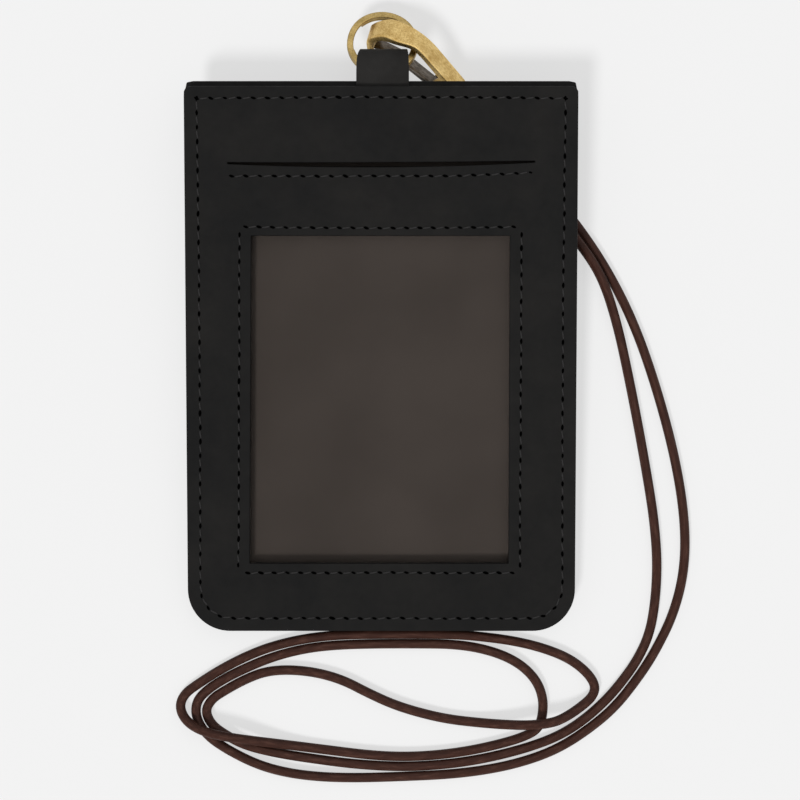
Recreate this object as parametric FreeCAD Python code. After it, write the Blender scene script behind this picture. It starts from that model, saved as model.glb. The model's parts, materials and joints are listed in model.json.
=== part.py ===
import FreeCAD, Part
import math
import os

# ID badge wallet: a sewn leather card wallet with a clear window, hung by a folded tab,
# a split ring and a swivel clasp on a long waxed cord. It lies on a table, seen from above:
# +Y runs up the wallet, +Z is up, and z = 0 is the table. Millimetres.

V = FreeCAD.Vector

# Places nearer than this count as one
contact = 0.001

# Corner radius of a nearly half-round end, as a share of its half width
end_round = 0.98

# Wallet panels
wallet_width = 80.0
wallet_height = 113.0
bottom_corner_radius = 7.5
top_corner_radius = 1.1
leather = 1.2
lining = 0.4
lining_inset = 0.5
front_drop = 1.3
edge_round = 0.3
wallet_tilt = 4.3

# Card window and card slit
window_side = 13.1
window_below = 14.0
window_above = 31.25
window_corner_radius = 1.0
film = 0.3
film_margin = 4.0
slit_side = 8.7
slit_gap = 0.6
slit_below_top = 17.1
facing_overlap = 1.7
facing_height = 8.5
facing = 0.4
welt_width = 5.0

# Hanging tab
tab_width = 10.7
tab_leather = 0.7
tab_rise = 6.5
tab_room = 4.5
tab_root = 9.0
tab_offset = 0.3
tab_seat_clearance = 0.05
tab_corner_radius = 0.5
tab_fold_radius = 1.3

# Split ring, two flat turns of wire
ring_outer_diameter = 14.6
ring_wire_width = 1.3
ring_turn_thickness = 0.7
ring_turn_gap = 0.1
ring_edge_round = 0.2
ring_end_angle = 32.0
ring_end_bearing = 165.0
ring_droop = 21.0
ring_lean = 2.0

# Clasp hook, one bent brass band
band_width = 4.4
band_thickness = 1.2
band_height = 2.4
band_edge_round = 0.3
flange_place = -3.2
flange_bend = 0.8
back_end = 6.0
back_radius = 14.0
back_turn = 43.0
nose_radius = 3.4
nose_turn = 110.0
nose_width = 4.0
clasp_x = 12.75
clasp_above_top = 0.35
clasp_below_back = 3.8
clasp_bearing = 132.5
clasp_rise = 16.0
clasp_roll = 38.0

# Sprung gate
pin_place = 0.6
pin_drop = 2.2
pin_radius = 0.45
cheek = 0.65
cheek_radius = 1.0
knuckle_radius = 0.9
gate_thickness = 0.5
gate_tip_clearance = 0.1
gate_tip_bearing = 62.0
gate_side_clearance = 0.05
running_clearance = 0.05
fixed_clearance = 0.02

# Swivel eye and cord end cap
stem_radius = 0.7
head_radius = 1.05
head_thickness = 0.7
collar_radius = 1.4
collar_thickness = 0.6
eye_radius = 2.6
eye_hole_radius = 1.3
eye_thickness = 1.5
lug_radius = 2.0
lug_hole_radius = 1.15
lug_thickness = 1.0
cap_length = 6.6
cap_wall = 0.3

# Waxed cord: the strands lie side by side in the cap
cord_diameter = 2.0
strand_spacing = 2.5
cap_lead = 6.0
arc_share = 0.45

# The route's own points on the table, x, y and z, from the outer strand round to the inner one
lead_outer_points = [
    (35.3, 26.9, 1), (42.2, 19.4, 1), (47.8, 10.2, 1), (52.4, -0.9, 1), (57.2, -14.8, 1), (61, -29.6, 1),
    (63.3, -43.6, 1), (63.5, -53.6, 1), (61.6, -62.2, 1), (57.8, -69.9, 1),
]
loop_points = [
    (52.6, -77, 1), (46.4, -84.5, 1), (39.7, -87.6, 1), (33, -90.3, 1), (24.7, -92.8, 1),
    (14.3, -95.1, 1), (5.3, -95.7, 1), (-6.6, -95.6, 1), (-17, -94.7, 1), (-25.1, -93.3, 1),
    (-31.7, -90.4, 1), (-36.2, -86.9, 1), (-38.2, -82.8, 1), (-38.1, -79, 1), (-35.7, -76.4, 1),
    (-31.5, -74.1, 1), (-24.9, -71.3, 1), (-17, -69.2, 1), (-8.7, -67.9, 1), (0.7, -67.5, 1),
    (10.1, -67.6, 1), (18.4, -68.3, 1), (24.7, -69.9, 1), (29.7, -72.5, 1), (32.6, -75.9, 1),
    (33.3, -79.7, 1), (32.2, -83.4, 1), (29.1, -86, 1), (24.1, -87.6, 1), (16.4, -89.2, 1),
    (8, -90.2, 1), (-0.7, -90.4, 1), (-9.7, -89.8, 1), (-18.7, -88.6, 1), (-24.9, -87.5, 2.4),
    (-30.4, -86.6, 3.7), (-36.6, -85.1, 3.9), (-40.4, -83.2, 2.6), (-42.2, -80.3, 1.2),
    (-41.2, -77.1, 1), (-37.9, -74.2, 1), (-32.6, -71.5, 1), (-26.4, -68.8, 1), (-19.1, -66.8, 1),
    (-10.8, -65.4, 1), (-1.4, -65, 1), (8, -65, 1), (16.4, -65.4, 1), (24.1, -66.4, 1),
    (30.9, -67.9, 1), (36.8, -69.9, 1), (41.2, -72.8, 1), (43.5, -75.9, 1.1), (43.2, -79, 1.3),
    (40.3, -81.2, 2.2), (35.5, -82.7, 3.6), (29.3, -83.2, 3.6), (22.2, -82.9, 1.8),
    (13.8, -81.7, 1), (5.9, -79.6, 1), (-1.4, -76.8, 1), (-8.7, -74.4, 1), (-16, -73.3, 1),
    (-23.3, -73.9, 1), (-29.5, -76.2, 1), (-33.3, -78.1, 1), (-35.4, -80.5, 1), (-35.1, -83.4, 1),
    (-32.4, -86.5, 1), (-28.3, -88.7, 1), (-22.2, -90.6, 1), (-14.9, -92, 1), (-6.6, -92.8, 1),
    (3.8, -93.1, 1), (13.8, -92.5, 1), (21.6, -91, 1), (28.9, -88.8, 1), (35.1, -86.8, 1),
    (41.4, -83.7, 1), (46.4, -80.2, 1),
]
lead_inner_points = [
    (51.2, -74.4, 1), (54.1, -68.8, 1), (56, -62.4, 1), (57, -54, 1), (56.8, -44.6, 1),
    (55.3, -34.2, 1), (53.3, -22.3, 1), (51, -10.7, 1), (48.5, -0.2, 1), (45.5, 8.9, 1),
    (41.4, 15.6, 1), (34.1, 23.6, 1),
]

# Worked-out levels through the wallet's thickness, from its back face
lining_top = leather + lining
welt = 2 * tab_leather
front_back = lining_top + welt
wallet_thickness = front_back + leather

# The window, the slit and its facing keep their margins inside the panel
window_width = wallet_width - 2 * window_side
window_height = wallet_height - window_below - window_above
slit_width = wallet_width - 2 * slit_side
facing_width = slit_width + 2 * facing_overlap

# The tab's loop and the ring's place in it
loop_bottom = wallet_height + tab_seat_clearance
loop_top = wallet_height + tab_rise
loop_front = front_back
loop_rear = loop_front - tab_room - 2 * tab_leather
ring_outer_radius = ring_outer_diameter / 2
ring_inner_radius = ring_outer_radius - ring_wire_width
ring_reach_in_tab = math.sqrt(ring_inner_radius ** 2 - (tab_width / 2) ** 2)
ring_pivot_radius = (ring_outer_radius + ring_reach_in_tab) / 2
pivot_height = (loop_bottom + loop_top) / 2
pivot_depth = (loop_front + loop_rear) / 2

# Frames: the wallet leans on the clasp, so its top edge is raised
tilt = math.radians(wallet_tilt)
droop = math.radians(ring_droop)
ring_top = (pivot_height * math.cos(tilt) - pivot_depth * math.sin(tilt)
            + (ring_pivot_radius + ring_outer_radius) * math.cos(droop)
            + (ring_turn_thickness + ring_turn_gap / 2) * math.sin(droop))
wallet_foot = wallet_thickness * math.sin(tilt)
wallet_bottom_y = (wallet_foot - ring_top) / 2
wallet_frame = FreeCAD.Placement(V(0, wallet_bottom_y, 0), FreeCAD.Rotation(V(1, 0, 0), wallet_tilt))
ring_pivot = wallet_frame.multVec(V(tab_offset, pivot_height, pivot_depth))
ring_turn = FreeCAD.Rotation(V(0, 1, 0), ring_lean) * FreeCAD.Rotation(V(1, 0, 0), -ring_droop)
ring_frame = FreeCAD.Placement(ring_pivot + ring_turn.multVec(V(0, ring_pivot_radius, 0)), ring_turn)
clasp_origin = wallet_frame.multVec(V(clasp_x, wallet_height + clasp_above_top, -clasp_below_back))
axis_turn = FreeCAD.Rotation(V(0, 0, 1), clasp_bearing) * FreeCAD.Rotation(V(0, 1, 0), -clasp_rise)
lanyard_frame = FreeCAD.Placement(clasp_origin, axis_turn)
clasp_frame = FreeCAD.Placement(clasp_origin, axis_turn * FreeCAD.Rotation(V(1, 0, 0), clasp_roll))

# The hook's profile: places along the swivel axis from the clasp's origin, and heights from it
half_band = band_thickness / 2
back_end_bearing = 90 - back_turn
back_centre = V(back_end, band_height - back_radius, 0)
nose_direction = V(math.cos(math.radians(back_end_bearing)), math.sin(math.radians(back_end_bearing)), 0)
nose_centre = back_centre + nose_direction * (back_radius - nose_radius)

# The gate reaches from its pin to the inside of the nose
gate_tip_reach = nose_radius - half_band - gate_thickness / 2 - gate_tip_clearance
gate_tip = nose_centre + V(math.cos(math.radians(gate_tip_bearing)),
                           -math.sin(math.radians(gate_tip_bearing)), 0) * gate_tip_reach
gate_run = gate_tip - V(pin_place, -pin_drop, 0)
gate_slope = math.degrees(math.atan2(-gate_run.y, gate_run.x))

# Places of the swivel's pieces along its axis, and of the cap's from its lug
head_start = flange_place + half_band + running_clearance
collar_end = flange_place - half_band - running_clearance
eye_place = collar_end - collar_thickness - eye_radius + eye_thickness / 4
lug_place = eye_place - (eye_radius + eye_hole_radius) / 2
cap_front = cap_wall - lug_radius
cap_end = cap_front - cap_length

# The cap swings in the eye, so it lies level below the swivel's axis
cap_frame = FreeCAD.Placement(lanyard_frame.multVec(V(lug_place, 0, 0)),
                              FreeCAD.Rotation(V(0, 0, 1), clasp_bearing))


def rounded_face(left, bottom, right, top, bottom_radius, top_radius, level):
    """A flat rectangle whose two lower and two upper corners are rounded."""
    corners = [
        (left, bottom, bottom_radius, 180),
        (right, bottom, bottom_radius, 270),
        (right, top, top_radius, 0),
        (left, top, top_radius, 90),
    ]
    edges = []
    last = None
    first = None
    for x, y, radius, start in corners:
        centre = V(x + math.copysign(radius, -x + (left + right) / 2),
                   y + math.copysign(radius, -y + (bottom + top) / 2), level)
        arc = arc_about(centre, radius, start, start + 90)
        begin = arc.valueAt(arc.FirstParameter)
        if last is not None:
            edges.append(Part.makeLine(last, begin))
        else:
            first = begin
        edges.append(arc)
        last = arc.valueAt(arc.LastParameter)
    edges.append(Part.makeLine(last, first))
    return Part.Face(Part.Wire(edges))


def arc_about(centre, radius, start, end):
    """An arc in a level plane, from one bearing to another in degrees."""
    places = []
    for bearing in (start, (start + end) / 2, end):
        angle = math.radians(bearing)
        places.append(centre + V(math.cos(angle), math.sin(angle), 0) * radius)
    return Part.Arc(*places).toShape()


def wallet_plate(inset, top_drop, level, thickness):
    """A plate with the wallet's outline, drawn in by an inset."""
    half = wallet_width / 2 - inset
    outline = rounded_face(-half, inset, half, wallet_height - top_drop - inset,
                           bottom_corner_radius - inset, top_corner_radius, level)
    return outline.extrude(V(0, 0, thickness))


def soften_top(plate, level, radius):
    """Round the plate's long edges at one level, as a burnished leather edge is."""
    edges = []
    for edge in plate.Edges:
        ends = [vertex.Z for vertex in edge.Vertexes]
        if all(abs(z - level) < contact for z in ends):
            edges.append(edge)
    return plate.makeFillet(radius, edges)


def back_panel():
    return wallet_plate(0, 0, 0, leather)


def back_lining():
    return wallet_plate(lining_inset, 0, leather, lining)


def edge_welt():
    """The strip between the panels that keeps the pocket open, cut away where the tab goes in."""
    outer = wallet_plate(lining_inset, front_drop, lining_top, welt)
    half = wallet_width / 2 - welt_width
    inner = rounded_face(-half, welt_width, half, wallet_height - welt_width,
                         top_corner_radius, top_corner_radius, lining_top)
    tab_gap = Part.makeBox(tab_width + 2 * tab_seat_clearance, 3 * welt_width, welt,
                           V(tab_offset - tab_width / 2 - tab_seat_clearance,
                             wallet_height - 2 * welt_width, lining_top))
    return outer.cut([inner.extrude(V(0, 0, welt)), tab_gap])


def front_panel():
    """The front leather, with its card window and its card slit."""
    panel = wallet_plate(0, front_drop, front_back, leather)
    half_window = window_width / 2
    window = rounded_face(-half_window, window_below, half_window, window_below + window_height,
                          window_corner_radius, window_corner_radius, front_back)
    slit_level = wallet_height - slit_below_top
    half_gap = slit_gap / 2
    slit = rounded_face(-slit_width / 2, slit_level - half_gap, slit_width / 2, slit_level + half_gap,
                        end_round * half_gap, end_round * half_gap, front_back)
    cut = panel.cut(window.extrude(V(0, 0, leather)))
    softened = soften_top(cut, front_back + leather, edge_round)
    return softened.cut(slit.extrude(V(0, 0, leather)))


def window_film():
    """Clear film behind the window, caught in the window's seam all round."""
    return Part.makeBox(window_width + 2 * film_margin, window_height + 2 * film_margin, film,
                        V(-window_width / 2 - film_margin, window_below - film_margin,
                          front_back - film))


def slit_facing():
    """The strip sewn behind the slit's lower lip."""
    top = wallet_height - slit_below_top - slit_gap / 2
    return Part.makeBox(facing_width, facing_height, facing,
                        V(-facing_width / 2, top - facing_height, front_back - facing))


def hanging_tab():
    """A leather strap folded over the ring, its two ends sewn between the panels."""
    outer = rounded_face(loop_rear, loop_bottom, loop_front, loop_top,
                         tab_corner_radius + tab_leather, tab_fold_radius + tab_leather, 0)
    inner = rounded_face(loop_rear + tab_leather, loop_bottom + tab_leather,
                         loop_front - tab_leather, loop_top - tab_leather,
                         tab_corner_radius, tab_fold_radius, 0)
    root = Part.makePlane(welt, tab_root + tab_leather + tab_corner_radius,
                          V(lining_top, wallet_height - tab_root, 0))
    section = outer.fuse(root).removeSplitter().cut(inner)
    strap = section.extrude(V(0, 0, tab_width))
    strap.rotate(V(0, 0, 0), V(0, 1, 0), -90)
    strap.translate(V(tab_offset + tab_width / 2, 0, 0))
    return strap


def ring_section(bearing, level):
    """The wire's flat section, its corners rounded, at one bearing of the ring."""
    half = ring_turn_thickness / 2
    section = rounded_face(ring_inner_radius, level - half, ring_outer_radius, level + half,
                           ring_edge_round, ring_edge_round, 0)
    section.rotate(V(0, 0, 0), V(1, 0, 0), 90)
    section.rotate(V(0, 0, 0), V(0, 0, 1), bearing)
    return section.OuterWire


def split_ring():
    """Two flat turns of one wire, with the step where the wire crosses from one to the other."""
    level = (ring_turn_thickness + ring_turn_gap) / 2
    sweep = 360 - 2 * ring_end_angle
    upper = Part.Face(ring_section(ring_end_angle, level)).revolve(V(0, 0, 0), V(0, 0, 1), sweep)
    lower = Part.Face(ring_section(ring_end_angle, -level)).revolve(V(0, 0, 0), V(0, 0, 1), sweep)
    steps = 8
    sections = []
    for step in range(steps + 1):
        share = step / steps
        bearing = ring_end_angle * (2 * share - 1)
        height = level * math.cos(math.pi * share)
        sections.append(ring_section(bearing, height))
    crossing = Part.makeLoft(sections, True, True)
    ring = upper.fuse([crossing, lower])
    ring.rotate(V(0, 0, 0), V(0, 0, 1), ring_end_bearing)
    return ring


def band_side(offset):
    """One face line of the bent band, from the flange over the back to the nose."""
    flange_top = band_height - flange_bend
    bend = V(flange_place + flange_bend, flange_top, 0)
    end = back_end_bearing
    return [
        Part.makeLine(V(flange_place - offset, 0, 0), V(flange_place - offset, flange_top, 0)),
        arc_about(bend, flange_bend + offset, 180, 90),
        Part.makeLine(V(bend.x, band_height + offset, 0), V(back_end, band_height + offset, 0)),
        arc_about(back_centre, back_radius + offset, 90, end),
        arc_about(nose_centre, nose_radius + offset, end, end - nose_turn),
    ]


def soften_back(band, outside):
    """Round the two long edges of the band's outer face."""
    line = Part.Wire(Part.__sortEdges__(outside))
    edges = []
    for edge in band.Edges:
        places = [edge.valueAt(edge.FirstParameter), edge.valueAt(edge.LastParameter)]
        one_side = places[0].y * places[1].y > 0
        on_line = all(Part.Vertex(place.x, place.z, 0).distToShape(line)[0] < contact for place in places)
        if one_side and on_line:
            edges.append(edge)
    return band.makeFillet(band_edge_round, edges)


def clasp_hook():
    """The hook: a flange for the swivel, a long curved back and a turned-in nose."""
    outside = band_side(half_band)
    inside = band_side(-half_band)
    edges = outside + inside
    edges.append(Part.makeLine(outside[0].Vertexes[0].Point, inside[0].Vertexes[0].Point))
    edges.append(Part.makeLine(outside[-1].Vertexes[-1].Point, inside[-1].Vertexes[-1].Point))
    profile = Part.Face(Part.Wire(Part.__sortEdges__(edges)))
    band = profile.extrude(V(0, 0, band_width))
    band.translate(V(0, 0, -band_width / 2))
    band.rotate(V(0, 0, 0), V(1, 0, 0), 90)
    reach = back_end + back_radius
    half = band_width / 2
    plan = Part.Face(Part.makePolygon([
        V(flange_place - band_width, -half, -reach), V(back_end, -half, -reach),
        V(reach, -nose_width / 2, -reach), V(reach, nose_width / 2, -reach),
        V(back_end, half, -reach), V(flange_place - band_width, half, -reach),
        V(flange_place - band_width, -half, -reach)]))
    band = soften_back(band.common(plan.extrude(V(0, 0, 2 * reach))), outside)
    disc = Part.makeCylinder(half, band_thickness, V(flange_place - half_band, 0, 0), V(1, 0, 0))
    bore = Part.makeCylinder(stem_radius + running_clearance, 4 * band_thickness,
                             V(flange_place - 2 * band_thickness, 0, 0), V(1, 0, 0))
    cheeks = []
    for side in (-half, half - cheek):
        upright = Part.makeBox(2 * cheek_radius, cheek, band_height + pin_drop,
                               V(pin_place - cheek_radius, side, -pin_drop))
        foot = Part.makeCylinder(cheek_radius, cheek, V(pin_place, side, -pin_drop), V(0, 1, 0))
        cheeks.extend([upright, foot])
    pin_bore = Part.makeCylinder(pin_radius + fixed_clearance, 2 * band_width,
                                 V(pin_place, -band_width, -pin_drop), V(0, 1, 0))
    return band.fuse([disc] + cheeks).removeSplitter().cut([bore, pin_bore])


def gate_pin():
    return Part.makeCylinder(pin_radius, band_width, V(pin_place, -band_width / 2, -pin_drop), V(0, 1, 0))


def gate():
    """The spring steel gate, rolled round its pin and closing on the inside of the nose."""
    width = band_width - 2 * cheek - 2 * gate_side_clearance
    pin = V(pin_place, -width / 2, -pin_drop)
    knuckle = Part.makeCylinder(knuckle_radius, width, pin, V(0, 1, 0))
    leaf = Part.makeBox(gate_run.Length, width, gate_thickness, pin - V(0, 0, gate_thickness / 2))
    bore = Part.makeCylinder(pin_radius + running_clearance, width, pin, V(0, 1, 0))
    shape = knuckle.fuse(leaf).removeSplitter().cut(bore)
    shape.rotate(pin, V(0, 1, 0), gate_slope)
    return shape


def swivel_eye():
    """The swivel: a riveted stem through the flange, a collar and a flat eye."""
    along = V(1, 0, 0)
    head = Part.makeCylinder(head_radius, head_thickness, V(head_start, 0, 0), along)
    stem = Part.makeCylinder(stem_radius, head_start - collar_end, V(collar_end, 0, 0), along)
    collar = Part.makeCylinder(collar_radius, collar_thickness, V(collar_end - collar_thickness, 0, 0), along)
    base = V(eye_place, 0, -eye_thickness / 2)
    eye = Part.makeCylinder(eye_radius, eye_thickness, base)
    hole = Part.makeCylinder(eye_hole_radius, eye_thickness, base)
    return head.fuse([stem, collar, eye]).removeSplitter().cut(hole)


def end_cap():
    """The crimped cap that holds both cord ends, with a lug linked through the eye."""
    lug_base = V(0, -lug_thickness / 2, 0)
    lug = Part.makeCylinder(lug_radius, lug_thickness, lug_base, V(0, 1, 0))
    hole = Part.makeCylinder(lug_hole_radius, lug_thickness, lug_base, V(0, 1, 0))
    radius = cord_diameter / 2 + cap_wall
    half = strand_spacing / 2 + radius
    section = rounded_face(-half, -radius, half, radius, end_round * radius, end_round * radius, 0)
    sleeve = section.extrude(V(0, 0, cap_length))
    sleeve.rotate(V(0, 0, 0), V(1, 0, 0), 90)
    sleeve.rotate(V(0, 0, 0), V(0, 0, 1), -90)
    sleeve.translate(V(cap_front, 0, 0))
    return lug.fuse(sleeve).removeSplitter().cut(hole)


def turn_at(before, point, after):
    """The tangent points, mid-point and radius of the arc at one point of the route."""
    back = before - point
    ahead = after - point
    cut = arc_share * min(back.Length, ahead.Length)
    back.normalize()
    ahead.normalize()
    half_turn = (math.pi - back.getAngle(ahead)) / 2
    radius = cut / math.tan(half_turn)
    inward = back + ahead
    inward.normalize()
    middle = point + inward * (radius / math.cos(half_turn) - radius)
    return point + back * cut, middle, point + ahead * cut, radius


def cord_path(points):
    """Straight runs joined by tangent arcs, as edges, with each arc's radius."""
    edges = []
    radii = []
    last = points[0]
    for before, point, after in zip(points, points[1:], points[2:]):
        begin, middle, end, radius = turn_at(before, point, after)
        edges.append(Part.makeLine(last, begin))
        edges.append(Part.Arc(begin, middle, end).toShape())
        radii.append(radius)
        last = end
    edges.append(Part.makeLine(last, points[-1]))
    return edges, radii


def cord_tube(points, name):
    """The round cord along its route."""
    edges, radii = cord_path(points)
    path = Part.Wire(edges)
    start = points[1] - points[0]
    ring = Part.Wire(Part.makeCircle(cord_diameter / 2, points[0], start))
    tube = path.makePipeShell([ring], True, False)
    area = math.pi * cord_diameter ** 2 / 4
    print(name, "length %.1f" % path.Length, "volume share %.4f" % (tube.Volume / (area * path.Length)))
    print(name, "radii", " ".join("%.1f" % radius for radius in radii))
    return tube, path


def self_gap(path):
    """The least gap between stretches of the cord that are more than four diameters apart."""
    spacing = cord_diameter / 5
    places = path.discretize(Distance=spacing)
    apart = int(4 * cord_diameter / spacing)
    least = path.Length
    for index, place in enumerate(places):
        for other in places[index + apart:]:
            least = min(least, place.distanceToPoint(other))
    return least - cord_diameter


def halfway(first, second):
    return (first + second) / 2


def cord_nodes():
    """The two leads to the cap and the loops on the table, cut apart halfway along a run."""
    outer = [V(*point) for point in lead_outer_points]
    loops = [V(*point) for point in loop_points]
    inner = [V(*point) for point in lead_inner_points]
    starts = []
    for side in (-strand_spacing / 2, strand_spacing / 2):
        starts.append([cap_frame.multVec(V(cap_end - run, side, 0)) for run in (0, cap_lead)])
    outer_join = halfway(outer[-1], loops[0])
    inner_join = halfway(loops[-1], inner[0])
    routes = {
        "cord_lead_outer": starts[0] + outer + [outer_join],
        "cord_loops": [outer_join] + loops + [inner_join],
        "cord_lead_inner": [inner_join] + inner + starts[1][::-1],
    }
    tubes = {}
    for name, points in routes.items():
        tubes[name], path = cord_tube(points, name)
        if name == "cord_loops":
            print(name, "least gap to itself %.2f" % self_gap(path))
    return tubes


def placed(shape, frame):
    """The shape moved from its own frame to the table's."""
    moved = shape.copy()
    moved.transformShape(frame.toMatrix(), True)
    return moved


def main():
    os.makedirs("parts", exist_ok=True)
    nodes = {
        "back_panel": placed(back_panel(), wallet_frame),
        "back_lining": placed(back_lining(), wallet_frame),
        "edge_welt": placed(edge_welt(), wallet_frame),
        "front_panel": placed(front_panel(), wallet_frame),
        "window_film": placed(window_film(), wallet_frame),
        "slit_facing": placed(slit_facing(), wallet_frame),
        "hanging_tab": placed(hanging_tab(), wallet_frame),
        "split_ring": placed(split_ring(), ring_frame),
        "clasp_hook": placed(clasp_hook(), clasp_frame),
        "gate_pin": placed(gate_pin(), clasp_frame),
        "gate": placed(gate(), clasp_frame),
        "swivel_eye": placed(swivel_eye(), lanyard_frame),
        "end_cap": placed(end_cap(), cap_frame),
    }
    nodes.update(cord_nodes())
    for name, shape in nodes.items():
        shape.exportStep("parts/%s.step" % name)


main()
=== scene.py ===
import json
import math

import bpy
from bpy.props import FloatProperty, FloatVectorProperty, PointerProperty
from mathutils import Euler, Matrix, Vector, kdtree, noise


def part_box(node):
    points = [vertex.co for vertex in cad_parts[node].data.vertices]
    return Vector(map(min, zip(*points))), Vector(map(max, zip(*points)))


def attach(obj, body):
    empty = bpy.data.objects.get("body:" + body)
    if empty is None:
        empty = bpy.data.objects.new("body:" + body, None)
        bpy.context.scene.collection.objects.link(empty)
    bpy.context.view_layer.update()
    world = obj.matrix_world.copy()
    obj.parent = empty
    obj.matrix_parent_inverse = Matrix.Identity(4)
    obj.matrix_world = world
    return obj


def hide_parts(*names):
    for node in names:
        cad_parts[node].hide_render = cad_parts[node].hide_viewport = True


bl_info = {
    "name": "Id Badge Wallet",
    "version": (1, 0, 0),
    "blender": (4, 5, 0),
    "location": "3D View > Sidebar > Badge Wallet",
    "description": "Dresses a sewn leather badge wallet, its brass clasp and its waxed neck cord",
    "category": "Object",
}

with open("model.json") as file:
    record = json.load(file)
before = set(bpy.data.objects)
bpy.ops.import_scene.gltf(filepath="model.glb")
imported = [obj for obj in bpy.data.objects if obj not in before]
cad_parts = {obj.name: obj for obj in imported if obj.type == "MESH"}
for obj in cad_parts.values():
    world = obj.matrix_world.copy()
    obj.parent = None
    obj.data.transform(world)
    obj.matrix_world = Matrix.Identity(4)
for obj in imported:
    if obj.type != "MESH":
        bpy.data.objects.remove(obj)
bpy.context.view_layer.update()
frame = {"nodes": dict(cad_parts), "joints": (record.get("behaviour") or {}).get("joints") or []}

MM = 0.001
# Lengths below which two points touch, and below which two grid lines are one
contact = 1e-6
same_line = 1e-7
# What rounding may add up to along a line of many steps
step_slack = 1e-9
# How much thinner than its CAD solid a panel is, for its sunk seams, and how round its cut edges are
panel_slack = 0.1 * MM
panel_rounding = 0.22 * MM


def linear(code):
    """An sRGB hex colour as linear red, green, blue and alpha."""
    shares = [int(code[place:place + 2], 16) / 255 for place in (1, 3, 5)]
    light = [share / 12.92 if share <= 0.04045 else ((share + 0.055) / 1.055) ** 2.4 for share in shares]
    return (*light, 1.0)


def length_prop(name, description, millimetres):
    return FloatProperty(name=name, description=description, default=millimetres * MM, unit="LENGTH")


def colour_prop(name, description, code):
    return FloatVectorProperty(name=name, description=description, default=linear(code),
                               size=4, min=0, max=1, subtype="COLOR")


class WalletSizes(bpy.types.PropertyGroup):
    """Sizes of the sewn wallet, as it lies flat before it leans on the clasp."""
    width: length_prop("Width", "Width of the leather panels", 80.0)
    height: length_prop("Height", "Height of the back panel", 113.0)
    leather: length_prop("Leather", "Thickness of the panel leather", 1.2)
    lining: length_prop("Lining", "Thickness of the lining", 0.4)
    welt: length_prop("Welt", "Thickness of the strip between the panels", 1.4)
    front_drop: length_prop("Front drop", "How far the front panel's top lies below the back panel's", 1.3)
    bottom_radius: length_prop("Bottom corners", "Radius of the two lower corners", 8.7)
    top_radius: length_prop("Top corners", "Radius of the back panel's upper corners", 0.9)
    front_radius: length_prop("Front top corners", "Radius of the front panel's upper corners", 1.3)
    window_left: length_prop("Window left", "Leather to the left of the window", 13.15)
    window_right: length_prop("Window right", "Leather to the right of the window", 13.75)
    window_below: length_prop("Window below", "Leather left below the window", 14.1)
    window_above: length_prop("Window above", "From the window's top to the back panel's top", 31.45)
    window_slant: length_prop("Window slant", "How far the window's left edge strays at its ends", 0.32)
    slit_side: length_prop("Slit side", "Leather left beside the card slit", 8.7)
    slit_below: length_prop("Slit below top", "From the back panel's top to the card slit", 17.1)
    tilt: FloatProperty(name="Lean", description="Angle at which the wallet leans on the clasp",
                        default=math.radians(4.3), subtype="ANGLE")


class StitchSizes(bpy.types.PropertyGroup):
    """Sizes of the hand stitching."""
    pitch: length_prop("Pitch", "Distance from one stitch hole to the next", 2.9)
    window_pitch: length_prop("Window pitch", "Distance between the stitch holes round the window", 2.7)
    thread: length_prop("Thread", "Thickness of the sewing thread", 0.36)
    hole: length_prop("Hole", "Length of an awl hole", 1.15)
    sink: length_prop("Sink", "How far the seam pulls the leather down", 0.16)


class TabSizes(bpy.types.PropertyGroup):
    """Sizes of the folded hanging tab."""
    width: length_prop("Width", "Width of the strap", 10.7)
    offset: length_prop("Offset", "How far the strap lies to the right of the middle", 0.3)
    leather: length_prop("Leather", "Thickness of the strap", 0.7)
    rise: length_prop("Rise", "How far the fold stands above the back panel", 6.5)
    root: length_prop("Root", "How far the strap's ends go into the wallet", 9.0)
    depth: length_prop("Depth", "Depth of the fold from front to back", 5.9)


class Colours(bpy.types.PropertyGroup):
    """Colours of the leather, thread, film, metal and cord."""
    leather: colour_prop("Leather", "Black dyed leather", "#151515")
    leather_worn: colour_prop("Worn leather", "Where the dye is thinner", "#1e1d1c")
    tab_worn: colour_prop("Worn tab", "Where the tab's dye is thinner", "#2c2b2a")
    # Near black: the raw edge's own dark colour, deepened as painted shade for the gap between the panels and
    # the space behind the card slit.
    cut_edge_and_gap_shade: colour_prop("Cut edge", "Raw edge of the leather", "#0e0d0c")
    thread: colour_prop("Thread", "Black waxed thread", "#262525")
    # Painted shadow: the near-black colour of the discs that stand for the inside of the awl holes.
    hole: colour_prop("Stitch hole", "Shadow in an awl hole", "#030303")
    lining: colour_prop("Lining", "Grey-brown lining cloth", "#3e3834")
    film: colour_prop("Film", "Clear soft film", "#544d48")
    brass: colour_prop("Brass", "Brushed brass of the clasp", "#ecce8c")
    brass_dark: colour_prop("Tarnished brass", "Brown tarnish on the brass", "#bb9857")
    ring: colour_prop("Ring", "Dull brass of the split ring", "#b59c66")
    ring_dark: colour_prop("Tarnished ring", "Brown tarnish on the ring", "#8a7545")
    steel: colour_prop("Gate", "Dull spring steel", "#827a71")
    steel_dark: colour_prop("Worn gate", "Darker streaks in the spring steel", "#4d463f")
    cord: colour_prop("Cord", "Dark brown waxed cord", "#3a231c")
    cord_light: colour_prop("Cord wax", "Lighter wax on the cord", "#50362d")
    floor: colour_prop("Floor", "Pale table", "#f2f2f2")


class BadgeWallet(bpy.types.PropertyGroup):
    """All that a user may change on the badge wallet."""
    wallet: PointerProperty(type=WalletSizes)
    stitch: PointerProperty(type=StitchSizes)
    tab: PointerProperty(type=TabSizes)
    colours: PointerProperty(type=Colours)


def settings():
    return bpy.context.scene.badge_wallet


# Levels of the wallet's layers, from its back face
def lining_top():
    wallet = settings().wallet
    return wallet.leather + wallet.lining


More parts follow.
